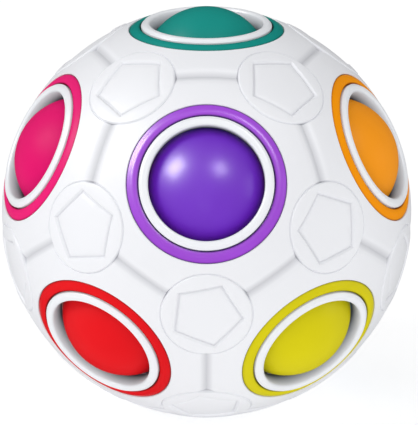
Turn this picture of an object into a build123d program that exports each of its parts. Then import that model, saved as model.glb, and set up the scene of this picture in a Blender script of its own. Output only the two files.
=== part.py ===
from build123d import *
import math
import os

# A hollow white ball with twelve round seats at the corners of an icosahedron.
# Eleven coloured balls sit behind the seats and one seat is left empty, so that
# balls can be rolled from seat to seat until every ball sits in its own colour.
# Z is up, the ball rests on the rim of its empty bottom seat, and all is in mm.

# shell
SHELL_R = 35.0              # outside radius of the white shell
SHELL_WALL = 2.2            # wall of the shell
INNER_R = SHELL_R - SHELL_WALL

# relief of the shell
DISC_R = 7.6                # round raised pad between three seats
DISC_RISE = 0.15            # height of the pad above the sphere
PENTAGON_R = 6.35           # corner radius of the sunken pentagon on a pad
PENTAGON_SINK = 0.25        # depth of the pentagon below the pad
GROOVE_HALF = 1.5           # half width of the V groove at the sphere
GROOVE_DEPTH = 0.5          # depth of the V groove
GROOVE_ARC = 18.4           # length of a groove in degrees, ends hidden under the pads
GROOVE_FLARE = 0.3          # the groove's sides run on this far outside the sphere
OVERSHOOT = 1.0             # cutters run on this far past the faces that they cut

# opening of a seat, heights are along the seat axis from the centre of the ball
RECESS_R = 13.1             # recess that takes the coloured ring
RECESS_FLOOR = 31.75        # height of the floor of that recess
BORE_R = 10.55              # through hole for the collar

# coloured ring
RING_OUT = 13.04
RING_IN = 11.08
RING_LEDGE_IN = 10.55       # inner edge of the ledge under the collar flange
RING_LEDGE_TOP = 32.35
RING_EDGE = 0.15            # rounding of the two edges that can be felt

# white collar
THROAT_R = 9.5              # narrowest opening, smaller than a ball
THROAT_LOW = 30.6           # lower edge of the throat, where the ball rests
LIP_TOP = 33.65             # crest of the rim, the ball stands on this one
LIP_IN = 9.95               # flat crest between two rounded edges
LIP_OUT = 10.35
COLLAR_OUT = 11.02
FLANGE_LOW = 32.4           # underside of the flange that holds the ring
TUBE_OUT = 10.45
BEAD_OUT = 10.95            # snap bead under the inner face of the shell
BEAD_TOP = 30.85
BEAD_HIGH = 0.3
COLLAR_LOW = 29.75
COLLAR_LOW_IN = 10.2

# balls
BALL_R = 10.8
BALL_WALL = 1.2
BALL_DIST = 25.3            # from the centre of the shell to the centre of a seated ball
CORE_R = 9.2                # loose ball in the middle, keeps the others in the seats
TONGUE_HIGH = 1.0           # step joint where two cups are welded
TONGUE_R = 10.2             # of a seat ball, as far inside its surface on the core ball
TONGUE_THICKEN = 0.2        # the tongue stands this far inside the wall
TONGUE_ROOT = 0.5           # and reaches this far down into its own cup
WELD_GAP = 0.05

# snap tongues of the right shell, under the seam
TAB_IN = 31.3               # inner radius of a tongue
TAB_HALF = 3.0              # half its width along the seam
TAB_ARC = 5.0               # degrees that it reaches to both sides of the seam
TAB_GAP = 0.1               # clearance under the left shell
TAB_BITE = 0.3              # its root runs this far into the wall of the right shell
TAB_ROOT_BACK = 0.5         # degrees between the root and the seam
SEAM_MARGIN = 0.1           # seam runs this far outside the edge of a pad
SEAM_REACH = 4.0            # and is cut this far past both faces of the wall

CENTRE = Vector(0, 0, LIP_TOP)
LATITUDE = math.degrees(math.atan(0.5))
SEAT_ANGLE = math.degrees(math.atan(2))

# azimuth and latitude of each seat axis, the name is the colour of the seat
SEATS = {
    "teal": (0, 90),
    "purple": (-90, LATITUDE),
    "orange": (-18, LATITUDE),
    "blue": (54, LATITUDE),
    "green": (126, LATITUDE),
    "pink": (-162, LATITUDE),
    "red": (-126, -LATITUDE),
    "yellow": (-54, -LATITUDE),
    "sky": (18, -LATITUDE),
    "magenta": (90, -LATITUDE),
    "peach": (162, -LATITUDE),
    "white": (0, -90),
}
EMPTY_SEAT = "white"
SPLIT_POLE = "orange"       # the shell is split around this seat


def direction(azimuth, latitude):
    """Unit vector for an azimuth from +X and a latitude above the XY plane."""
    flat = math.cos(math.radians(latitude))
    return Vector(
        flat * math.cos(math.radians(azimuth)),
        flat * math.sin(math.radians(azimuth)),
        math.sin(math.radians(latitude)),
    )


AXES = {name: direction(*angles) for name, angles in SEATS.items()}


def are_neighbours(first, second):
    return abs(AXES[first].get_angle(AXES[second]) - SEAT_ANGLE) < 1


def neighbour_pairs():
    names = list(SEATS)
    return [
        (a, b)
        for i, a in enumerate(names)
        for b in names[i + 1:]
        if are_neighbours(a, b)
    ]


def neighbour_triples():
    return [
        (a, b, c)
        for a, b in neighbour_pairs()
        for c in list(SEATS)[list(SEATS).index(b) + 1:]
        if are_neighbours(a, c) and are_neighbours(b, c)
    ]


def near_pole(name):
    """True for the pole seat of the split and its five neighbours."""
    return name == SPLIT_POLE or are_neighbours(name, SPLIT_POLE)


def pad_axis(triple):
    return (AXES[triple[0]] + AXES[triple[1]] + AXES[triple[2]]).normalized()


def odd_one(triple):
    """The seat of a triple that the corner of its pentagon points at."""
    ends = [n for n in triple if n == SPLIT_POLE or AXES[n].dot(AXES[SPLIT_POLE]) < -0.9]
    if ends:
        return ends[0]
    near = [n for n in triple if near_pole(n)]
    far = [n for n in triple if not near_pole(n)]
    return near[0] if len(near) == 1 else far[0]


def axis_plane(axis, height):
    """Plane square to an axis, at a height from the centre of the ball."""
    return Plane(origin=CENTRE + axis * height, z_dir=axis)


def profile_plane(axis, origin):
    """Plane for a section: x away from the axis, y along it."""
    side = axis_plane(axis, 0).x_dir
    return Plane(origin=origin, x_dir=side, z_dir=side.cross(axis))


def sphere_height(rho, radius=SHELL_R):
    return math.sqrt(radius ** 2 - rho ** 2)


def groove_cutters():
    """V grooves on the great circles that run midway between two seats."""
    half = GROOVE_HALF * (GROOVE_DEPTH + GROOVE_FLARE) / GROOVE_DEPTH
    with BuildPart() as made:
        for first, second in neighbour_pairs():
            middle = (AXES[first] + AXES[second]).normalized()
            across = (AXES[first] - AXES[second]).normalized()
            start = middle.rotate(Axis((0, 0, 0), across), -GROOVE_ARC / 2)
            with BuildSketch(Plane(origin=CENTRE, x_dir=start, z_dir=start.cross(across))):
                with BuildLine():
                    Polyline(
                        (SHELL_R - GROOVE_DEPTH, 0),
                        (SHELL_R + GROOVE_FLARE, half),
                        (SHELL_R + GROOVE_FLARE, -half),
                        close=True,
                    )
                make_face()
            revolve(axis=Axis(CENTRE, across), revolution_arc=GROOVE_ARC)
    return made.part


def pads():
    """The twenty round pads, cut from a slightly larger sphere."""
    with BuildPart() as made:
        for triple in neighbour_triples():
            with BuildSketch(axis_plane(pad_axis(triple), INNER_R)):
                Circle(DISC_R)
            extrude(amount=SHELL_WALL + OVERSHOOT)
        with Locations(CENTRE):
            Sphere(SHELL_R + DISC_RISE, mode=Mode.INTERSECT)
    return made.part


def pentagon_cutters():
    """Sunken pentagons of the pads, with floors that follow the sphere."""
    with BuildPart() as made:
        for triple in neighbour_triples():
            axis = pad_axis(triple)
            target = AXES[odd_one(triple)]
            corner = (target - axis * target.dot(axis)).normalized()
            with BuildSketch(Plane(origin=CENTRE + axis * INNER_R, x_dir=corner, z_dir=axis)):
                RegularPolygon(PENTAGON_R, 5)
            extrude(amount=SHELL_WALL + OVERSHOOT)
        with Locations(CENTRE):
            Sphere(SHELL_R + DISC_RISE - PENTAGON_SINK, mode=Mode.SUBTRACT)
    return made.part


def seat_hole_cutters():
    """Stepped holes: a recess for the ring and a bore for the collar."""
    bore_low = sphere_height(BORE_R, INNER_R) - OVERSHOOT
    with BuildPart() as made:
        for axis in AXES.values():
            with BuildSketch(axis_plane(axis, RECESS_FLOOR)):
                Circle(RECESS_R)
            extrude(amount=SHELL_R + OVERSHOOT - RECESS_FLOOR)
            with BuildSketch(axis_plane(axis, bore_low)):
                Circle(BORE_R)
            extrude(amount=RECESS_FLOOR + OVERSHOOT - bore_low)
    return made.part


def whole_shell():
    """The white shell before it is split into two halves."""
    with BuildPart() as made:
        with Locations(CENTRE):
            Sphere(SHELL_R)
        add(groove_cutters(), mode=Mode.SUBTRACT)
        add(pads())
        add(pentagon_cutters(), mode=Mode.SUBTRACT)
        add(seat_hole_cutters(), mode=Mode.SUBTRACT)
        with Locations(CENTRE):
            Sphere(INNER_R, mode=Mode.SUBTRACT)
    return made.part


def seam_points(reach):
    """The ten pad centres that the seam runs through, in order around the pole."""
    pole = AXES[SPLIT_POLE]
    side = axis_plane(pole, 0).x_dir
    found = []
    for triple in neighbour_triples():
        count = sum(near_pole(name) for name in triple)
        if count in (1, 2):
            axis = pad_axis(triple)
            angle = math.atan2(axis.dot(pole.cross(side)), axis.dot(side))
            found.append((angle, axis))
    found.sort(key=lambda item: item[0])
    return [CENTRE + axis * reach for _, axis in found]


def right_side():
    """All of space on the side of the split pole, along grooves and around pads."""
    pole = AXES[SPLIT_POLE]
    far = 2 * SHELL_R
    apex = CENTRE + pole * (2 * far)
    rim = seam_points(far)
    faces = []
    for k, point in enumerate(rim):
        following = rim[(k + 1) % len(rim)]
        for tip in (CENTRE, apex):
            faces.append(Face(Wire.make_polygon([tip, point, following])))
    with BuildPart() as made:
        add(Solid(Shell(faces)))
        for wanted, mode in ((2, Mode.ADD), (1, Mode.SUBTRACT)):
            for triple in neighbour_triples():
                if sum(near_pole(name) for name in triple) != wanted:
                    continue
                with BuildSketch(axis_plane(pad_axis(triple), INNER_R - SEAM_REACH)):
                    Circle(DISC_R + SEAM_MARGIN)
                extrude(amount=SHELL_WALL + 2 * SEAM_REACH, mode=mode)
    return made.part


def snap_tabs():
    """Tongues of the right half that reach under the left half at each groove."""
    with BuildPart() as made:
        for first, second in neighbour_pairs():
            if near_pole(first) == near_pole(second):
                continue
            inside, outside = (first, second) if near_pole(first) else (second, first)
            middle = (AXES[inside] + AXES[outside]).normalized()
            turn = AXES[inside].cross(AXES[outside]).normalized()
            about = Axis((0, 0, 0), turn)
            for start_angle, arc, top in (
                (-TAB_ARC, 2 * TAB_ARC, sphere_height(TAB_HALF, INNER_R) - TAB_GAP),
                (-TAB_ARC, TAB_ARC - TAB_ROOT_BACK, INNER_R + TAB_BITE),
            ):
                start = middle.rotate(about, start_angle)
                with BuildSketch(Plane(origin=CENTRE, x_dir=start, z_dir=start.cross(turn))):
                    with Locations(((TAB_IN + top) / 2, 0)):
                        Rectangle(top - TAB_IN, 2 * TAB_HALF)
                revolve(axis=Axis(CENTRE, turn), revolution_arc=arc)
    return made.part


def shell_halves():
    """Right and left half of the shell, with tongues on the right one."""
    whole = whole_shell()
    side = right_side()
    with BuildPart() as right:
        add(whole)
        add(side, mode=Mode.INTERSECT)
        add(snap_tabs())
    with BuildPart() as left:
        add(whole)
        add(side, mode=Mode.SUBTRACT)
    return right.part, left.part


def colour_ring(axis):
    """Ring with a face that follows the sphere and a ledge for the collar."""
    with BuildPart() as made:
        with BuildSketch(profile_plane(axis, CENTRE)) as profile:
            with BuildLine():
                Polyline(
                    (RING_IN, sphere_height(RING_IN)),
                    (RING_IN, RING_LEDGE_TOP),
                    (RING_LEDGE_IN, RING_LEDGE_TOP),
                    (RING_LEDGE_IN, RECESS_FLOOR),
                    (RING_OUT, RECESS_FLOOR),
                    (RING_OUT, sphere_height(RING_OUT)),
                )
                RadiusArc(
                    (RING_OUT, sphere_height(RING_OUT)),
                    (RING_IN, sphere_height(RING_IN)),
                    -SHELL_R,
                )
            make_face()
            fillet(profile.vertices().sort_by(Axis.Y)[-2:], RING_EDGE)
        revolve(axis=Axis(CENTRE, axis))
    return made.part


def seat_collar(axis):
    """Snap-in collar: rounded rim outside, bead under the shell inside."""
    with BuildPart() as made:
        with BuildSketch(profile_plane(axis, CENTRE)) as profile:
            with BuildLine():
                Polyline(
                    (THROAT_R, THROAT_LOW),
                    (THROAT_R, LIP_TOP),
                    (COLLAR_OUT, LIP_TOP),
                    (COLLAR_OUT, FLANGE_LOW),
                    (TUBE_OUT, FLANGE_LOW),
                    (TUBE_OUT, BEAD_TOP),
                    (BEAD_OUT, BEAD_TOP),
                    (BEAD_OUT, BEAD_TOP - BEAD_HIGH),
                    (TUBE_OUT, COLLAR_LOW),
                    (COLLAR_LOW_IN, COLLAR_LOW),
                    close=True,
                )
            make_face()
            inner_edge, outer_edge = profile.vertices().group_by(Axis.Y)[-1].sort_by(Axis.X)
            fillet(inner_edge, LIP_IN - THROAT_R)
            fillet(outer_edge, COLLAR_OUT - LIP_OUT)
        revolve(axis=Axis(CENTRE, axis))
    return made.part


def ball_cup(centre, axis, radius, upper):
    """Half of a hollow ball; the lower cup has the tongue of the step joint."""
    size = 2 * radius
    side = 1 if upper else -1
    inner = radius - BALL_WALL
    with BuildPart() as made:
        with BuildSketch(profile_plane(axis, centre)):
            Circle(radius)
            Circle(inner, mode=Mode.SUBTRACT)
            with Locations((0, -side * size / 2)):
                Rectangle(2 * size, size, mode=Mode.SUBTRACT)
            with Locations((-size / 2, 0)):
                Rectangle(size, 2 * size, mode=Mode.SUBTRACT)
            step = radius - (BALL_R - TONGUE_R)
            if upper:
                with Locations((step / 2, TONGUE_HIGH / 2)):
                    Rectangle(step, TONGUE_HIGH, mode=Mode.SUBTRACT)
            else:
                outer = step - WELD_GAP
                width = outer - (inner - TONGUE_THICKEN)
                height = TONGUE_HIGH - WELD_GAP + TONGUE_ROOT
                with Locations((outer - width / 2, height / 2 - TONGUE_ROOT)):
                    Rectangle(width, height)
        revolve(axis=Axis(centre, axis))
    return made.part


def write(part, name):
    part.label = name
    export_step(part, f"parts/{name}.step")


def build_all():
    os.makedirs("parts", exist_ok=True)
    right_half, left_half = shell_halves()
    write(right_half, "right_shell")
    write(left_half, "left_shell")
    for name, axis in AXES.items():
        write(colour_ring(axis), f"{name}_ring")
        write(seat_collar(axis), f"{name}_collar")
        if name != EMPTY_SEAT:
            centre = CENTRE + axis * BALL_DIST
            write(ball_cup(centre, axis, BALL_R, True), f"{name}_outer_cup")
            write(ball_cup(centre, axis, BALL_R, False), f"{name}_inner_cup")
    up = Vector(0, 0, 1)
    write(ball_cup(CENTRE, up, CORE_R, True), "core_upper_cup")
    write(ball_cup(CENTRE, up, CORE_R, False), "core_lower_cup")


build_all()
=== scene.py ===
import math

import bpy
import numpy as np
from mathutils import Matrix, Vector
from mathutils.geometry import delaunay_2d_cdt


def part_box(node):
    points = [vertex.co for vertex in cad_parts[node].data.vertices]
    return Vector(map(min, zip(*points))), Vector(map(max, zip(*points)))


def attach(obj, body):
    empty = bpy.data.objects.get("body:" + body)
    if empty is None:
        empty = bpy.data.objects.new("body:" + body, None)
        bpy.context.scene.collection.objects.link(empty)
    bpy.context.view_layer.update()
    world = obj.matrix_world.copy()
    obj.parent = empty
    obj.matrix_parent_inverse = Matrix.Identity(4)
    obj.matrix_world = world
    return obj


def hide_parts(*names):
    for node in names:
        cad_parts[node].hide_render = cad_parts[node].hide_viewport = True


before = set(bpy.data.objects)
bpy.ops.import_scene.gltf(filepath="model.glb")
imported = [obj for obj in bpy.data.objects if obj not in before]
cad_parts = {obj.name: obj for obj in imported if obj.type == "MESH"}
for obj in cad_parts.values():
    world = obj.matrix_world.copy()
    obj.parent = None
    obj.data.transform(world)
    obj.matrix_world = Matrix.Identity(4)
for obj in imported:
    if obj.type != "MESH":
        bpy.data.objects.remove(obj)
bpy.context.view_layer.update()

# ---------------------------------------------------------------- dimensions
MM = 0.001
SHELL_R = 35.0
INNER_R = 32.8
core_low, core_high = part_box("core_lower_cup")[0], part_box("core_upper_cup")[1]
CENTRE = Vector((0.0, 0.0, round((core_low[2] + core_high[2]) / 2 / MM, 2)))   # of the sphere
BALL_R = 10.8
BALL_DIST = 25.3
BALL_WALL = 1.2
CORE_R = 9.2

RECESS_R = 13.1                          # recess for the coloured ring
RECESS_CHAMFER = 0.14                    # width of the recess's broken edge
RECESS_CHAMFER_DEPTH = 0.16
RECESS_FLOOR = 31.75
BORE_R = 10.55

FOOT_R = 7.74                            # outer edge of the crease round a pad
PAD_RISE = 0.13
GROOVE_HALF = 1.5
GROOVE_DEPTH = 0.5
SHOULDER = 0.25                          # softness of the groove's shoulders
PENTAGON_R = 6.35                        # corner radius of the sunken pentagons

FINE, COARSE = 0.8, 2.6                  # spacing of fill points outside and inside the shell
SHELL_SHARP = 24                         # edges of the shell are sharp over this angle

LATITUDE = math.atan(0.5)
HALF_SEAT = math.atan(2) / 2             # half the angle between two seats
# azimuth in degrees and row: 1 upper, -1 lower, 90 and -90 on the axis
SEATS = {
    "teal": (0, 90), "purple": (-90, 1), "orange": (-18, 1), "blue": (54, 1),
    "green": (126, 1), "pink": (-162, 1), "red": (-126, -1), "yellow": (-54, -1),
    "sky": (18, -1), "magenta": (90, -1), "peach": (162, -1), "white": (0, -90),
}
SPLIT_POLE = "orange"
EMPTY = "white"


def direction(azimuth, row):
    """Unit vector from the centre through a seat."""
    if abs(row) == 90:
        return np.array([0.0, 0.0, row / 90.0])
    a = math.radians(azimuth)
    lat = LATITUDE * row
    return np.array([math.cos(lat) * math.cos(a), math.cos(lat) * math.sin(a), math.sin(lat)])


AXES = {name: direction(*value) for name, value in SEATS.items()}
NAMES = list(SEATS)


def unit(v):
    return v / np.linalg.norm(v)


def on_sphere(radius, rho):
    """Height of a sphere's surface at a distance from the axis."""
    return math.sqrt(radius ** 2 - rho ** 2)


def neighbours(a, b):
    return abs(AXES[a] @ AXES[b] - 1 / math.sqrt(5)) < 0.01


def near_pole(name):
    return name == SPLIT_POLE or neighbours(name, SPLIT_POLE)


PAIRS = [(a, b) for i, a in enumerate(NAMES) for b in NAMES[i + 1:] if neighbours(a, b)]
TRIPLES = [
    (a, b, c)
    for a, b in PAIRS
    for c in NAMES[NAMES.index(b) + 1:]
    if neighbours(a, c) and neighbours(b, c)
]


def pentagon_target(triple):
    """The seat that a corner of this pad's pentagon points at."""
    for name in triple:
        if name == SPLIT_POLE or AXES[name] @ AXES[SPLIT_POLE] < -0.9:
            return name
    near = [n for n in triple if near_pole(n)]
    far = [n for n in triple if not near_pole(n)]
    return near[0] if len(near) == 1 else far[0]


# ---------------------------------------------------------------- relief of the shell
def groove_drop(off):
    """Depth of a groove at a distance from its middle: a V with soft shoulders."""
    s = 1 - abs(off) / GROOVE_HALF
    if s <= -SHOULDER:
        return 0.0
    if s < SHOULDER:
        return GROOVE_DEPTH * (s + SHOULDER) ** 2 / (4 * SHOULDER)
    return GROOVE_DEPTH * s


GROOVE_STEPS = 15                        # points along a groove, its ends included
# offsets of the lines that a groove is meshed along
GROOVE_LINES = (0.0, 0.5, 0.95, 1.125, 1.3, 1.5, 1.7, 1.875, 2.05)
FOOT_ANGLE = math.asin(FOOT_R / SHELL_R)
RECESS_ANGLE = math.asin((RECESS_R + RECESS_CHAMFER) / SHELL_R)
HALF_EDGE = math.acos(
    unit(AXES["teal"] + AXES["purple"] + AXES["pink"]) @ unit(AXES["teal"] + AXES["purple"])
)
# azimuths on the foot circle, measured from the middle of a groove, up to the seat line
FOOT_STEPS = sorted(
    {round(math.asin(math.sin(d / SHELL_R) / math.sin(FOOT_ANGLE)), 9) for d in GROOVE_LINES}
    | {round(a, 9) for a in np.linspace(math.radians(18.6), math.radians(60), 14)}
)
FOOT_AZIMUTHS = [-a for a in reversed(FOOT_STEPS) if a > 0] + FOOT_STEPS
SEAT_STEPS = np.radians(np.linspace(-36, 36, 25))


def around(axis, start, angle, azimuth):
    """Direction at an angle from an axis and at an azimuth from a start direction."""
    x = unit(start - axis * (start @ axis))
    y = np.cross(axis, x)
    flat = x * math.cos(azimuth) + y * math.sin(azimuth)
    return axis * math.cos(angle) + flat * math.sin(angle)


class Patch:
    """Points on the unit sphere with heights, and triangles between them."""

    def __init__(self):
        self.dirs = []
        self.radii = []
        self.edges = []

    def add(self, v, radius):
        self.dirs.append(np.asarray(v, float))
        self.radii.append(radius)
        return len(self.dirs) - 1

    def line(self, ids, closed=False):
        ends = ids[1:] + ids[:1] if closed else ids[1:]
        self.edges += list(zip(ids, ends))

    def fill(self, spacing, radius_of, inside, axis, x_dir):
        """Hexagonal fill points that stay clear of the points already there."""
        taken = np.array(self.dirs)
        y_dir = np.cross(axis, x_dir)
        reach = int(0.6 / (spacing / SHELL_R)) + 2
        for i in range(-reach, reach + 1):
            for j in range(-reach, reach + 1):
                u = (i + 0.5 * (j % 2)) * spacing / SHELL_R
                w = j * spacing / SHELL_R * math.sqrt(3) / 2
                v = unit(axis + u * x_dir + w * y_dir)
                if not inside(v):
                    continue
                if np.min(np.sum((taken - v) ** 2, axis=1)) < (0.62 * spacing / SHELL_R) ** 2:
                    continue
                self.add(v, radius_of(v))

    def triangulate(self, axis, x_dir, inside):
        """Constrained triangulation in the plane tangent at the axis."""
        y_dir = np.cross(axis, x_dir)
        flat = []
        for v in self.dirs:
            k = 1 + v @ axis
            flat.append(Vector((v @ x_dir / k, v @ y_dir / k)))
        result = delaunay_2d_cdt(flat, self.edges, [], 0, 1e-9)
        points, faces, origins = result[0], result[2], result[3]
        if len(points) != len(self.dirs):
            raise RuntimeError("a patch has crossing lines or doubled points")
        order = [o[0] for o in origins]
        kept = []
        for face in faces:
            ids = [order[i] for i in face]
            middle = unit(sum(self.dirs[i] for i in ids))
            if inside(middle):
                kept.append(ids)
        return kept


def edge_patch(outer):
    """The ground between two seats and two pads, with the groove along X.

    Local frame: Z through the middle of the groove, X along it, Y to the first seat.
    """
    patch = Patch()
    z = np.array([0.0, 0.0, 1.0])
    x = np.array([1.0, 0.0, 0.0])
    seats = [np.array([0, s * math.sin(HALF_SEAT), math.cos(HALF_SEAT)]) for s in (1, -1)]
    discs = [np.array([s * math.sin(HALF_EDGE), 0, math.cos(HALF_EDGE)]) for s in (1, -1)]
    radius = SHELL_R if outer else INNER_R
    seat_angle = RECESS_ANGLE if outer else math.asin(BORE_R / INNER_R)

    def height(v):
        if not outer:
            return radius
        return radius - groove_drop(SHELL_R * math.asin(max(-1, min(1, v[1]))))

    seat_ids = []
    for seat in seats:
        ids = []
        for step in SEAT_STEPS:
            ids.append(patch.add(around(seat, z, seat_angle, step), radius))
        patch.line(ids)
        seat_ids.append(ids)
    disc_ids = []
    for disc in discs:
        ids = []
        for step in FOOT_AZIMUTHS:
            v = around(disc, z, FOOT_ANGLE, step)
            ids.append(patch.add(v, height(v)))
        patch.line(ids)
        disc_ids.append(ids)
    # short lines from the seats' corners to the pads' corners
    for ids in seat_ids:
        for end in (ids[0], ids[-1]):
            corners = [d[0] for d in disc_ids] + [d[-1] for d in disc_ids]
            nearest = min(corners, key=lambda c: -(patch.dirs[c] @ patch.dirs[end]))
            a, b = patch.dirs[end], patch.dirs[nearest]
            count = 2 if outer else 1
            between = [patch.add(unit(a * (1 - t) + b * t), radius)
                       for t in np.linspace(0, 1, count + 2)[1:-1]]
            patch.line([end] + between + [nearest])
    # lines along the groove
    if outer:
        offsets = sorted({s * d for d in GROOVE_LINES for s in (1, -1)})
    else:
        offsets = [0.0]
    for off in offsets:
        delta = off / SHELL_R
        reach = HALF_EDGE - math.acos(math.cos(FOOT_ANGLE) / math.cos(delta))
        ends = []
        for ids in disc_ids:
            ends.append(min(ids, key=lambda c: abs(patch.dirs[c][1] - math.sin(delta))))
        inner = []
        for t in np.linspace(-reach, reach, GROOVE_STEPS)[1:-1]:
            v = np.array([math.cos(delta) * math.sin(t), math.sin(delta),
                          math.cos(delta) * math.cos(t)])
            inner.append(patch.add(v, height(v)))
        patch.line([ends[1]] + inner + [ends[0]])

    def inside(v, margin=0.0):
        if any(v @ s > math.cos(seat_angle + margin) for s in seats):
            return False
        if any(v @ d > math.cos(FOOT_ANGLE + margin) for d in discs):
            return False
        for s in seats:
            for d in discs:
                n = unit(np.cross(s, d))
                n = n if n[2] > 0 else -n
                if v @ n < margin * 0.9:
                    return False
        return True

    spacing = FINE if outer else COARSE
    margin = 0.5 * FINE / SHELL_R
    patch.fill(spacing, height, lambda v: inside(v, margin), z, x)
    faces = patch.triangulate(z, x, inside)
    return patch, faces


# pad profile: radius, share of the way from the ground up to the top, and height added to that
PAD_PROFILE = ((FOOT_R, 0.0, 0.0), (7.69, 0.0, -0.06), (7.62, 0.0, -0.20), (7.54, 0.20, -0.23),
               (7.46, 0.55, -0.10), (7.37, 0.84, -0.01), (7.27, 0.97, 0.0), (7.10, 1.0, 0.0))
# pentagon profile: distance outside the outline and height over the pad
PENTAGON_PROFILE = ((0.14, 0.0), (0.04, -0.03), (-0.06, -0.14), (-0.16, -0.33), (-0.27, -0.45),
                    (-0.38, -0.43), (-0.52, -0.31), (-0.66, -0.25))


def disc_patch(outer):
    """A pad with its foot crease and sunken pentagon, a corner of it along X."""
    patch = Patch()
    z = np.array([0.0, 0.0, 1.0])
    x = np.array([1.0, 0.0, 0.0])
    azimuths = []
    for groove in (60, 180, 300):
        azimuths += [math.radians(groove) + a for a in FOOT_AZIMUTHS[:-1]]

    def ground(v):
        """Radius of the ground that the pad stands on, grooves included."""
        drop = 0.0
        for groove in (60, 180, 300):
            g = math.radians(groove)
            off = SHELL_R * math.asin(-v[0] * math.sin(g) + v[1] * math.cos(g))
            if v[0] * math.cos(g) + v[1] * math.sin(g) > 0:
                drop = max(drop, groove_drop(off))
        return SHELL_R - drop

    if not outer:
        foot = [patch.add(around(z, x, FOOT_ANGLE, a), INNER_R) for a in azimuths]
        patch.line(foot, closed=True)

        def within(v, margin=0.0):
            return v[2] > math.cos(FOOT_ANGLE - margin)

        patch.fill(COARSE, lambda v: INNER_R, lambda v: within(v, 0.03), z, x)
        return patch, patch.triangulate(z, x, within)

    top = SHELL_R + PAD_RISE
    rings = []
    for r, share, extra in PAD_PROFILE:
        ids = []
        for a in azimuths:
            v = around(z, x, math.asin(r / SHELL_R), a)
            base = ground(v)
            ids.append(patch.add(v, base + (top - base) * share + extra))
        rings.append(ids)
    outline = []
    for offset, height in PENTAGON_PROFILE:
        corner = PENTAGON_R + offset / math.cos(math.radians(36))
        points = [np.array([math.cos(math.radians(72 * i)), math.sin(math.radians(72 * i))])
                  * corner for i in range(5)]
        ids = []
        per_side = 12
        for i in range(5):
            a, b = points[i], points[(i + 1) % 5]
            for step in range(per_side):
                p = (a + (b - a) * step / per_side) / SHELL_R
                v = np.array([p[0], p[1], math.sqrt(1 - p @ p)])
                ids.append(patch.add(v, top + height))
        outline.append(ids)
    faces = []

    def strip(first, second):
        n = len(first)
        for i in range(n):
            j = (i + 1) % n
            faces.append([first[i], first[j], second[j], second[i]])

    for a, b in zip(rings, rings[1:]):
        strip(a, b)
    for a, b in zip(outline, outline[1:]):
        strip(a, b)
    patch.line(rings[-1], closed=True)
    patch.line(outline[0], closed=True)
    patch.line(outline[-1], closed=True)

    rim = PAD_PROFILE[-1][0] / SHELL_R

    def pentagon_side(v, offset):
        """Negative inside the pentagon, in mm."""
        flat = np.array([v[0], v[1]]) * SHELL_R
        apothem = PENTAGON_R * math.cos(math.radians(36)) + offset
        return max(flat @ np.array([math.cos(math.radians(36 + 72 * i)),
                                    math.sin(math.radians(36 + 72 * i))])
                   for i in range(5)) - apothem

    def on_top(v, margin=0.0):
        return (math.hypot(v[0], v[1]) < rim - margin / SHELL_R
                and pentagon_side(v, PENTAGON_PROFILE[0][0]) > margin)

    def on_floor(v, margin=0.0):
        return pentagon_side(v, PENTAGON_PROFILE[-1][0]) < -margin

    floor = top + PENTAGON_PROFILE[-1][1]
    patch.fill(FINE, lambda v: top if on_top(v) else floor,
               lambda v: on_top(v, 0.3) or on_floor(v, 0.35), z, x)
    # only the rim, the outline and the fill points go into the triangulation
    used = set(rings[-1]) | set(outline[0]) | set(outline[-1])
    fixed = sum(len(r) for r in rings) + sum(len(o) for o in outline)
    used |= set(range(fixed, len(patch.dirs)))
    ids = sorted(used)
    local = {old: new for new, old in enumerate(ids)}
    small = Patch()
    for i in ids:
        small.add(patch.dirs[i], patch.radii[i])
    small.edges = [(local[a], local[b]) for a, b in patch.edges]
    for face in small.triangulate(z, x, lambda v: on_top(v) or on_floor(v)):
        faces.append([ids[i] for i in face])
    return patch, faces


class Welder:
    """Collects faces of many patches and joins equal points."""

    def __init__(self):
        self.points = []
        self.dirs = []
        self.faces = []
        self.keys = {}

    def point(self, v, radius):
        p = v * radius
        key = tuple(np.round(p, 4))
        if key not in self.keys:
            for shift in ((0, 0, 0), (1, 0, 0), (-1, 0, 0), (0, 1, 0), (0, -1, 0),
                          (0, 0, 1), (0, 0, -1)):
                near = tuple(np.round(np.array(key) + np.array(shift) * 1e-4, 4))
                if near in self.keys:
                    return self.keys[near]
            self.keys[key] = len(self.points)
            self.points.append(p)
            self.dirs.append(v)
        return self.keys[key]

    def face(self, ids):
        clean = [i for k, i in enumerate(ids) if i != ids[k - 1]]
        if len(clean) > 2:
            self.faces.append(clean)


def place(welder, patch, faces, rotation, wanted=None, flip=False):
    """Adds a patch in a rotated place; wanted picks faces by their local middle."""
    ids = {}
    for face in faces:
        if wanted is not None:
            middle = sum(patch.dirs[i] for i in face)
            if not wanted(middle):
                continue
        out = []
        for i in face:
            if i not in ids:
                ids[i] = welder.point(rotation @ patch.dirs[i], patch.radii[i])
            out.append(ids[i])
        welder.face(out[::-1] if flip else out)


def turned_out(patch, faces):
    """Turns each face so that its normal points away from the centre."""
    out = []
    for face in faces:
        a, b, c = (patch.dirs[i] * patch.radii[i] for i in face[:3])
        out.append(face if np.cross(b - a, c - a) @ a > 0 else face[::-1])
    return out


def make_object(name, points, faces, material, sharp):
    """Smooth mesh from points in mm about the centre; sharp is an edge angle in degrees."""
    mesh = bpy.data.meshes.new(name)
    shifted = [Vector(p) * MM + CENTRE * MM for p in points]
    mesh.from_pydata(shifted, [], faces)
    mesh.validate()
    mesh.polygons.foreach_set("use_smooth", [True] * len(mesh.polygons))
    mesh.set_sharp_from_angle(angle=math.radians(sharp))
    mesh.materials.append(material)
    obj = bpy.data.objects.new(name, mesh)
    bpy.context.scene.collection.objects.link(obj)
    return obj


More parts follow.
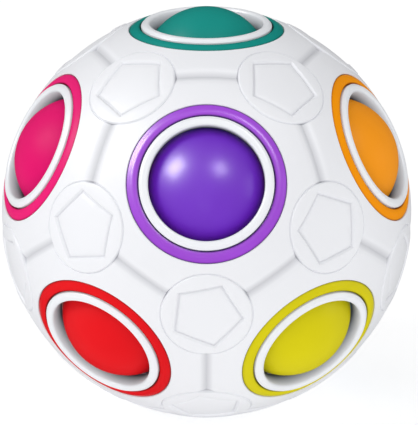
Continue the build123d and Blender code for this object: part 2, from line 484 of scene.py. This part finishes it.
def build_shell(material):
    """Both halves of the shell as closed meshes with outer relief and inner face."""
    outer_edge, outer_edge_faces = edge_patch(True)
    inner_edge, inner_edge_faces = edge_patch(False)
    outer_disc, outer_disc_faces = disc_patch(True)
    inner_disc, inner_disc_faces = disc_patch(False)
    outer_edge_faces = turned_out(outer_edge, outer_edge_faces)
    inner_edge_faces = turned_out(inner_edge, inner_edge_faces)
    outer_disc_faces = turned_out(outer_disc, outer_disc_faces)
    inner_disc_faces = turned_out(inner_disc, inner_disc_faces)
    halves = []
    for near in (True, False):
        outside, inside = Welder(), Welder()
        for a, b in PAIRS:
            sides = [near_pole(a) == near, near_pole(b) == near]
            if not any(sides):
                continue
            z = unit(AXES[a] + AXES[b])
            y = unit(AXES[a] - AXES[b])
            rotation = np.column_stack([np.cross(y, z), y, z])
            wanted = None
            if not all(sides):
                sign = 1 if sides[0] else -1
                wanted = lambda m, s=sign: m[1] * s > 0
            place(outside, outer_edge, outer_edge_faces, rotation, wanted)
            place(inside, inner_edge, inner_edge_faces, rotation, wanted, flip=True)
        for triple in TRIPLES:
            if (sum(near_pole(n) for n in triple) >= 2) != near:
                continue
            z = unit(sum(AXES[n] for n in triple))
            target = AXES[pentagon_target(triple)]
            x = unit(target - z * (target @ z))
            rotation = np.column_stack([x, np.cross(z, x), z])
            place(outside, outer_disc, outer_disc_faces, rotation)
            place(inside, inner_disc, inner_disc_faces, rotation, flip=True)
        halves.append(close_half(outside, inside, near, material))
    return halves


def open_edges(faces):
    """Directed edges that only one face has."""
    seen = {}
    for face in faces:
        for a, b in zip(face, face[1:] + face[:1]):
            seen[(a, b)] = seen.get((a, b), 0) + 1
    return [e for e in seen if (e[1], e[0]) not in seen]


def close_half(outside, inside, near, material):
    """Joins the two faces of a half by the seam's walls and the stepped holes."""
    points = list(outside.points)
    faces = list(outside.faces)
    base = len(points)
    points += inside.points
    faces += [[i + base for i in f] for f in inside.faces]
    inner_key = {}
    for i, v in enumerate(inside.dirs):
        inner_key[tuple(np.round(v, 4))] = i + base

    def find_inner(v):
        key = tuple(np.round(v, 4))
        if key in inner_key:
            return inner_key[key]
        for shift in np.ndindex(3, 3, 3):
            other = tuple(np.round(np.array(key) + (np.array(shift) - 1) * 1e-4, 4))
            if other in inner_key:
                return inner_key[other]
        return None

    steps = {}

    def hole_chain(i, axis):
        """Points of the stepped hole under an outer hole point, down to the inner face."""
        if i not in steps:
            v = unit(points[i])
            side = unit(v - axis * (v @ axis))
            chain = [i]
            for rho, h in ((RECESS_R, on_sphere(SHELL_R, RECESS_R) - RECESS_CHAMFER_DEPTH),
                           (RECESS_R, RECESS_FLOOR), (BORE_R, RECESS_FLOOR)):
                chain.append(len(points))
                points.append(side * rho + axis * h)
            chain.append(find_inner(unit(side * BORE_R + axis * on_sphere(INNER_R, BORE_R))))
            steps[i] = chain
        return steps[i]

    hole_cos = math.cos(RECESS_ANGLE) - 1e-4
    for a, b in open_edges(outside.faces):
        va, vb = outside.dirs[a], outside.dirs[b]
        axis = next((s for s in AXES.values() if va @ s > hole_cos and vb @ s > hole_cos), None)
        if axis is not None:
            first, second = hole_chain(a, axis), hole_chain(b, axis)
            for k in range(len(first) - 1):
                faces.append([second[k], first[k], first[k + 1], second[k + 1]])
        else:
            c, d = find_inner(vb), find_inner(va)
            faces.append([b, a, d, c])
    if open_edges(faces):
        raise RuntimeError("a half of the shell is not closed")
    name = "shell_right_half" if near else "shell_left_half"
    return make_object(name, points, faces, material, SHELL_SHARP)


# ---------------------------------------------------------------- turned pieces
LATHE_SHARP = 35                         # edges of turned pieces are sharp over this angle
RING_SEGMENTS, CUP_SEGMENTS, CORE_SEGMENTS = 180, 144, 96


def frame_of(axis):
    """Two directions square to an axis."""
    helper = np.array([0.0, 0.0, 1.0]) if abs(axis[2]) < 0.9 else np.array([0.0, 1.0, 0.0])
    x = unit(np.cross(helper, axis))
    return x, np.cross(axis, x)


def signed_volume(points, faces):
    total = 0.0
    for f in faces:
        for k in range(1, len(f) - 1):
            total += points[f[0]] @ np.cross(points[f[k]], points[f[k + 1]])
    return total


def lathe(name, profile, axis, segments, material, origin=0.0):
    """Turns a closed profile of (rho, height) round an axis, from an origin along it."""
    x, y = frame_of(axis)
    points, faces, rows = [], [], []
    for rho, h in profile:
        if rho < 1e-9:                   # a point on the axis is shared by the whole row
            rows.append([len(points)] * segments)
            points.append(axis * (h + origin))
            continue
        row = []
        for k in range(segments):
            t = 2 * math.pi * k / segments
            row.append(len(points))
            points.append(axis * (h + origin) + (x * math.cos(t) + y * math.sin(t)) * rho)
        rows.append(row)
    for first, second in zip(rows, rows[1:] + rows[:1]):
        for k in range(segments):
            j = (k + 1) % segments
            ids = [first[k], second[k], second[j], first[j]]
            clean = [i for n, i in enumerate(ids) if i != ids[n - 1]]
            if len(clean) > 2:
                faces.append(clean)
    if signed_volume(points, faces) < 0:
        faces = [f[::-1] for f in faces]
    return make_object(name, points, faces, material, LATHE_SHARP)


def arc(centre, radius, start, end, count):
    """Points of an arc in a profile, angles in degrees from +rho."""
    out = []
    for t in np.linspace(math.radians(start), math.radians(end), count):
        out.append((centre[0] + radius * math.cos(t), centre[1] + radius * math.sin(t)))
    return out


def ring_profile():
    """Coloured ring: a gently crowned face between two rounded edges."""
    inner, outer = 11.08, 13.04
    bevel = 0.30
    crown = 0.20                         # the face's middle stands this far over its edges
    proud = 0.04                         # of the middle over the shell
    under = 32.35                        # height of the step that the collar clamps
    span = outer - inner - 2 * bevel

    def face(rho):
        """Height of the face: the sphere, lowered towards both edges."""
        t = (rho - inner - bevel) / span * 2 - 1
        return on_sphere(SHELL_R + proud, rho) - crown * t * t

    points = [(BORE_R, RECESS_FLOOR), (outer, RECESS_FLOOR)]
    edge = (outer - bevel, face(outer - bevel) - bevel)
    points += arc(edge, bevel, -10, 60, 7)
    for rho in np.linspace(outer - bevel * 1.1, inner + bevel * 1.1, 14)[1:-1]:
        points.append((rho, face(rho)))
    edge = (inner + bevel, face(inner + bevel) - bevel)
    points += arc(edge, bevel, 95, 180, 8)
    points += [(inner, under), (BORE_R, under)]
    return points


def collar_profile():
    """White collar: a full round lip that dips to the throat and to the ring."""
    throat, tube, cap, bead = 9.5, 10.45, 11.02, 10.95
    cap_low, bead_low, bead_high, foot = 32.4, 30.55, 30.85, 29.75
    points = [(tube, cap_low), (cap, cap_low), (cap, 32.95)]
    points += arc((10.82, 33.05), 0.20, 0, 62, 6)
    points += arc((10.33, 33.05), 0.60, 52, 90, 6)[1:]
    points += arc((9.97, 33.18), 0.47, 90, 180, 12)
    points += [(throat, 32.8), (throat, 31.8), (throat, 30.72), (9.55, 30.6), (10.2, foot),
               (tube, foot), (bead, bead_low), (bead, bead_high), (tube, bead_high)]
    return points


def cup_profile(radius, upper):
    """Half of a hollow ball with its step joint, height 0 at the weld."""
    inner = radius - BALL_WALL
    step = radius - BALL_WALL / 2
    bevel = 0.03
    gap = 0.05
    overlap = 1.0                        # height of the lower cup's tongue inside the upper cup
    start = math.degrees(math.asin(bevel / radius))
    outer = arc((0, 0), radius, start, 90, 49)
    outer[-1] = (0.0, radius)
    inside = arc((0, 0), inner, 90, 0, 25)
    inside[0] = (0.0, inner)
    if upper:
        inside = [p for p in inside if p[1] > overlap]
        return outer + inside + [(on_sphere(inner, overlap), overlap), (step, overlap),
                                 (step, 0.0), (radius - bevel, 0.0)]
    low = [(r, -h) for r, h in outer + inside]
    return low + [(inner, overlap - gap), (step - gap, overlap - gap), (step - gap, 0.0),
                  (radius - bevel, 0.0)]


# ---------------------------------------------------------------- materials
def rgb(r, g, b):
    """Linear colour from 0-255 values."""
    out = []
    for c in (r, g, b):
        c = c / 255
        out.append(c / 12.92 if c < 0.04045 else ((c + 0.055) / 1.055) ** 2.4)
    return out


CLOUDS, PATCHES, GRAIN = 60.0, 220.0, 900.0      # noise scales, coarse to fine
ROUGH_SPREAD = 0.02
GRAIN_HEIGHT = 0.00005


def plastic(name, colour, roughness, coat, tint=0.05, bump=0.06, coat_rough=0.12, gloss=0.5):
    """Moulded plastic: faint mottling, micro roughness and a fine moulded grain."""
    material = bpy.data.materials.new(name)
    material.use_nodes = True
    tree = material.node_tree
    shader = tree.nodes["Principled BSDF"]
    shader.inputs["IOR"].default_value = 1.5
    shader.inputs["Coat Weight"].default_value = coat
    shader.inputs["Coat Roughness"].default_value = coat_rough
    shader.inputs["Specular IOR Level"].default_value = gloss
    coords = tree.nodes.new("ShaderNodeTexCoord")

    def noise(size, detail):
        node = tree.nodes.new("ShaderNodeTexNoise")
        node.inputs["Scale"].default_value = size
        node.inputs["Detail"].default_value = detail
        tree.links.new(coords.outputs["Object"], node.inputs["Vector"])
        return node

    def spread(source, low, high):
        node = tree.nodes.new("ShaderNodeMapRange")
        node.inputs["From Min"].default_value = 0.3
        node.inputs["From Max"].default_value = 0.7
        node.inputs["To Min"].default_value = low
        node.inputs["To Max"].default_value = high
        tree.links.new(source.outputs["Fac"], node.inputs["Value"])
        return node

    cloud = noise(CLOUDS, 3.0)
    ramp = tree.nodes.new("ShaderNodeValToRGB")
    ramp.color_ramp.elements[0].position = 0.3
    ramp.color_ramp.elements[1].position = 0.7
    ramp.color_ramp.elements[0].color = [c * (1 - tint) for c in colour] + [1]
    ramp.color_ramp.elements[1].color = [min(1, c * (1 + tint)) for c in colour] + [1]
    tree.links.new(cloud.outputs["Fac"], ramp.inputs["Fac"])
    tree.links.new(ramp.outputs["Color"], shader.inputs["Base Color"])
    rough = spread(noise(PATCHES, 4.0), roughness - ROUGH_SPREAD, roughness + ROUGH_SPREAD)
    tree.links.new(rough.outputs["Result"], shader.inputs["Roughness"])
    fine = noise(GRAIN, 3.0)
    relief = tree.nodes.new("ShaderNodeBump")
    relief.inputs["Strength"].default_value = bump
    relief.inputs["Distance"].default_value = GRAIN_HEIGHT
    tree.links.new(fine.outputs["Fac"], relief.inputs["Height"])
    tree.links.new(relief.outputs["Normal"], shader.inputs["Normal"])
    return material


COLOURS = {
    "teal": (6, 146, 136), "purple": (114, 24, 208), "orange": (255, 156, 0),
    "blue": (32, 72, 190), "green": (60, 172, 66), "pink": (224, 14, 106),
    "red": (230, 4, 18), "yellow": (218, 206, 0), "sky": (70, 175, 228),
    "magenta": (182, 44, 162), "peach": (250, 176, 160),
}

RING_COLOURS = {"purple": (164, 62, 222), "orange": (255, 154, 0), "pink": (232, 30, 116)}
# skins that differ from the usual dull one
BALL_SKINS = {
    "purple": dict(roughness=0.52, coat=0.6, coat_rough=0.30, gloss=0.4),
    "orange": dict(roughness=0.5, coat=0.0, gloss=0.16),
    "pink": dict(roughness=0.5, coat=0.0, gloss=0.05),
}
DULL_SKIN = dict(roughness=0.45, coat=0.04, coat_rough=0.25, gloss=0.12)
RING_SKINS = {"purple": dict(coat=0.12, gloss=0.6), "pink": dict(coat=0.0, gloss=0.05),
              "teal": dict(coat=0.12, gloss=0.1), "orange": dict(coat=0.0, gloss=0.05)}
DULL_RING = dict(coat=0.15, gloss=0.12)

shell_white = plastic("shell_white_moulded", rgb(239, 240, 244), 0.5, 0.05, tint=0.012,
                      bump=0.05, coat_rough=0.3, gloss=0.3)
collar_white = plastic("collar_white_gloss", rgb(243, 245, 249), 0.35, 0.1, tint=0.01,
                       bump=0.03, coat_rough=0.15, gloss=0.4)


def paint_shade_inwards(material, shade, near, far, multiply=False):
    """Paints shade into a piece's colour: darker towards the centre of the sphere, where light
    hardly reaches.
    """
    tree = material.node_tree
    coords = tree.nodes["Texture Coordinate"]
    reach = tree.nodes.new("ShaderNodeVectorMath")
    reach.operation = "DISTANCE"
    reach.inputs[1].default_value = CENTRE * MM
    tree.links.new(coords.outputs["Object"], reach.inputs[0])
    span = tree.nodes.new("ShaderNodeMapRange")
    span.inputs["From Min"].default_value = far * MM
    span.inputs["From Max"].default_value = near * MM
    tree.links.new(reach.outputs["Value"], span.inputs["Value"])
    blend = tree.nodes.new("ShaderNodeMix")
    blend.data_type = "RGBA"
    blend.blend_type = "MULTIPLY" if multiply else "MIX"
    shader = tree.nodes["Principled BSDF"]
    source = shader.inputs["Base Color"].links[0].from_socket
    tree.links.new(source, blend.inputs["A"])
    blend.inputs["B"].default_value = shade
    tree.links.new(span.outputs["Result"], blend.inputs["Factor"])
    tree.links.new(blend.outputs["Result"], shader.inputs["Base Color"])


# painted shade: the shell's grooves, pad creases and pentagon lines turn grey with their depth
paint_shade_inwards(shell_white, (0.60, 0.60, 0.62, 1), 34.30, 34.86, multiply=True)
# painted shade: the collar's inner wall turns dark grey down its throat towards the ball
paint_shade_inwards(collar_white, (*rgb(68, 76, 84), 1), 32.4, 34.45)
core_white = plastic("core_white_plain", rgb(225, 225, 223), 0.5, 0.0, tint=0.02)

# ---------------------------------------------------------------- the pieces
right_half, left_half = build_shell(shell_white)
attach(right_half, "shell")
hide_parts("right_shell")
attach(left_half, "shell")
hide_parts("left_shell")

for seat, axis in AXES.items():
    if seat == EMPTY:
        ring_material, slot = collar_white, "collar_white"
    else:
        ring_material = plastic(f"{seat}_satin", rgb(*RING_COLOURS.get(seat, COLOURS[seat])),
                                roughness=0.40, tint=0.08, bump=0.2, coat_rough=0.14,
                                **RING_SKINS.get(seat, DULL_RING))
        # painted shade: dark outlines along both rounded edges of the ring, a darker copy of
        # its own colour
        painted_edge_shade = [0.05 + 0.2 * c for c in rgb(*RING_COLOURS.get(seat, COLOURS[seat]))]
        paint_shade_inwards(ring_material, (*painted_edge_shade, 1), 34.74, 34.90, multiply=True)
        ball_material = plastic(f"{seat}_gloss", rgb(*COLOURS[seat]),
                                **BALL_SKINS.get(seat, DULL_SKIN))
        if seat == "purple":             # painted shade: the glossiest ball turns darker and deeper purple towards its rim
            paint_shade_inwards(ball_material, (0.92, 0.12, 1.0, 1), 32.6, 34.8, multiply=True)
        slot = f"{seat}_plastic"
    ring = lathe(f"{seat}_inlaid_ring", ring_profile(), axis, RING_SEGMENTS, ring_material)
    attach(ring, "shell")
    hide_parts(f"{seat}_ring")
    collar = lathe(f"{seat}_seat_collar", collar_profile(), axis, RING_SEGMENTS,
                   collar_white)
    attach(collar, "shell")
    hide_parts(f"{seat}_collar")
    collar.visible_glossy = False        # keeps white out of the balls' dark rims
    if seat == EMPTY:
        continue
    for upper, side in ((True, "outer"), (False, "inner")):
        cup = lathe(f"{seat}_ball_{side}", cup_profile(BALL_R, upper), axis, CUP_SEGMENTS,
                    ball_material, origin=BALL_DIST)
        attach(cup, f"{seat}_ball")
        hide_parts(f"{seat}_{side}_cup")
        cup.visible_diffuse = False      # keeps its colour off the white collar

for upper, side in ((True, "upper"), (False, "lower")):
    cup = lathe(f"core_ball_{side}", cup_profile(CORE_R, upper), AXES["teal"],
                CORE_SEGMENTS, core_white)
    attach(cup, "core_ball")
    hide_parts(f"core_{side}_cup")

# ---------------------------------------------------------------- stage, light and camera
FLOOR_HALF = 3
floor_mesh = bpy.data.meshes.new("floor")
corners = [(x * FLOOR_HALF, y * FLOOR_HALF, 0) for x, y in ((-1, -1), (1, -1), (1, 1), (-1, 1))]
floor_mesh.from_pydata(corners, [], [(0, 1, 2, 3)])
floor = bpy.data.objects.new("floor", floor_mesh)
bpy.context.scene.collection.objects.link(floor)
floor_material = bpy.data.materials.new("floor_pale")
floor_material.use_nodes = True
floor_shader = floor_material.node_tree.nodes["Principled BSDF"]
floor_shader.inputs["Base Color"].default_value = (0.5, 0.5, 0.5, 1)
floor_shader.inputs["Roughness"].default_value = 0.8
floor_shader.inputs["Emission Color"].default_value = (1, 1, 1, 1)
floor_shader.inputs["Emission Strength"].default_value = 0.62
floor_shader.inputs["Specular IOR Level"].default_value = 0.1
floor_mesh.materials.append(floor_material)
floor.visible_glossy = False

MIDDLE = CENTRE * MM


def area_light(name, way, distance, size, power):
    """Square light that faces the middle of the sphere."""
    data = bpy.data.lights.new(name, "AREA")
    data.energy = power
    data.size = size
    light = bpy.data.objects.new(name, data)
    light.location = MIDDLE + way * distance
    light.rotation_euler = (MIDDLE - light.location).to_track_quat("-Z", "Y").to_euler()
    bpy.context.scene.collection.objects.link(light)
    return light


KEY_WAY = Vector((-0.754, -0.151, 0.639))
FILL_WAY = Vector((0.367, -0.496, 0.787))
SIDE_WAY = Vector((0.99, -0.07, 0.10))
FRONT_WAY = Vector((-0.07, -0.98, -0.17))
# wide lights that only lighten: name, direction, power in watts
FILLS = (
    ("front", Vector((-0.12, -0.97, 0.1)), 2.3),
    ("right", Vector((0.85, -0.5, 0.2)), 0.7),
    ("top", Vector((0.15, -0.3, 0.95)), 0.9),
)
# boxes that only the gloss sees: name, direction, size in metres, power in watts
GLINTS = (
    ("key_gloss", KEY_WAY, 0.40, 12.0),
    ("fill_gloss", FILL_WAY, 0.28, 4.0),
    ("side_gloss", SIDE_WAY, 0.40, 0.8),
    ("front_gloss", FRONT_WAY, 0.25, 1.2),
)
area_light("key", KEY_WAY, 0.9, 0.30, 1.5)
for name, way, power in FILLS:
    area_light(name, way, 1.2, 1.0, power).visible_glossy = False
for name, way, size, power in GLINTS:
    area_light(name, way, 0.88, size, power).visible_diffuse = False

world = bpy.data.worlds.new("studio")
world.use_nodes = True
tree = world.node_tree
plain = tree.nodes["Background"]
plain.inputs["Color"].default_value = (1.0, 1.0, 1.0, 1)
plain.inputs["Strength"].default_value = 0.70
dim = tree.nodes.new("ShaderNodeBackground")      # what glossy surfaces see of the room
dim.inputs["Color"].default_value = (1.0, 1.0, 1.0, 1)
dim.inputs["Strength"].default_value = 0.03
ray = tree.nodes.new("ShaderNodeLightPath")
blend = tree.nodes.new("ShaderNodeMixShader")
tree.links.new(ray.outputs["Is Glossy Ray"], blend.inputs["Fac"])
tree.links.new(plain.outputs["Background"], blend.inputs[1])
tree.links.new(dim.outputs["Background"], blend.inputs[2])
tree.links.new(blend.outputs["Shader"], tree.nodes["World Output"].inputs["Surface"])
bpy.context.scene.world = world
bpy.context.scene.view_settings.view_transform = "Standard"

IMAGE_LONG = 425                         # longer side of the image, in pixels
FOCAL_PX = 3584.5
SHIFT_PX = (2.47, -0.41)
DISTANCE = 0.6136
ELEVATION = math.radians(18.43)
camera_data = bpy.data.cameras.new("camera")
camera_data.sensor_width = 36.0
camera_data.lens = camera_data.sensor_width * FOCAL_PX / IMAGE_LONG
camera_data.clip_start = 0.01
camera_data.clip_end = 20
camera_data.shift_x = SHIFT_PX[0] / IMAGE_LONG
camera_data.shift_y = SHIFT_PX[1] / IMAGE_LONG
camera = bpy.data.objects.new("camera", camera_data)
camera.location = MIDDLE + Vector((0, -math.cos(ELEVATION), math.sin(ELEVATION))) * DISTANCE
camera.rotation_euler = (MIDDLE - camera.location).to_track_quat("-Z", "Y").to_euler()
bpy.context.scene.collection.objects.link(camera)
bpy.context.scene.camera = camera

bpy.context.view_layer.update()
